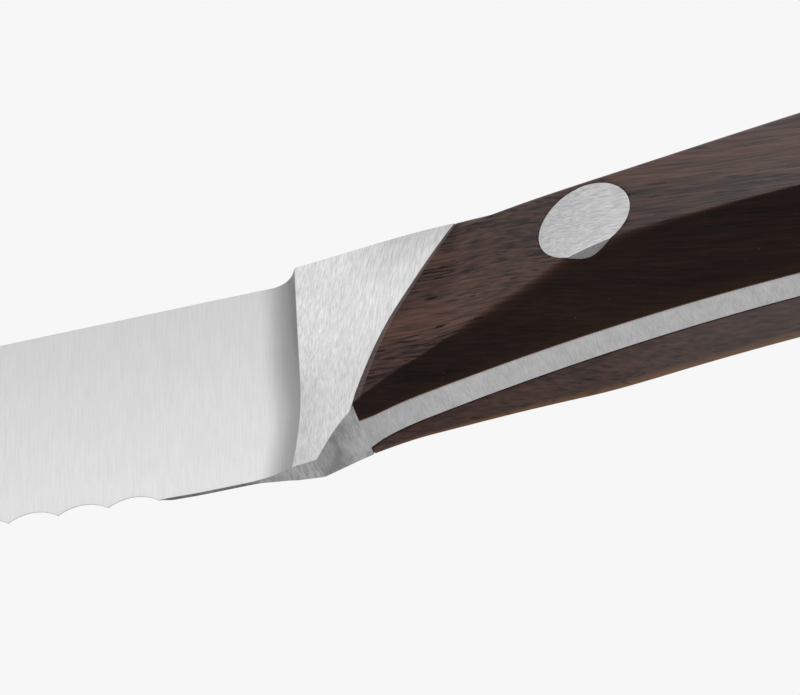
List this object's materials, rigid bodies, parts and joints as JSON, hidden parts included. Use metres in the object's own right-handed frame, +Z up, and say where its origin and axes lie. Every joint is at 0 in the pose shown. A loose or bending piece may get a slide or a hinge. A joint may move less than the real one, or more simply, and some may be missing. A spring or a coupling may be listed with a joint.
{
  "type": "tomato knife",
  "caption": "Full-tang kitchen knife with a scalloped blade, a forged bolster and faceted dark wood scales held by flush rivets, for slicing tomatoes.",
  "frame": {"origin": "Under the middle of the knife, on the surface it lies on", "axes": "The knife lies on its right side. X runs from the tip to the butt, Y from the edge to the spine, Z up out of the left flank"},
  "size_m": [0.243, 0.0256, 0.015],
  "materials": {
    "forged_steel": "satin, brushed from edge to spine",
    "dark_wood": "oiled, open pores along the handle",
    "rivet_steel": "ground flush with the wood"
  },
  "bodies": {
    "root": {"blade_forging": "forged_steel", "left_scale": "dark_wood", "right_scale": "dark_wood", "front_rivet_sleeve": "rivet_steel", "front_rivet_post": "rivet_steel", "middle_rivet_sleeve": "rivet_steel", "middle_rivet_post": "rivet_steel", "rear_rivet_sleeve": "rivet_steel", "rear_rivet_post": "rivet_steel"}
  },
  "joints": []
}
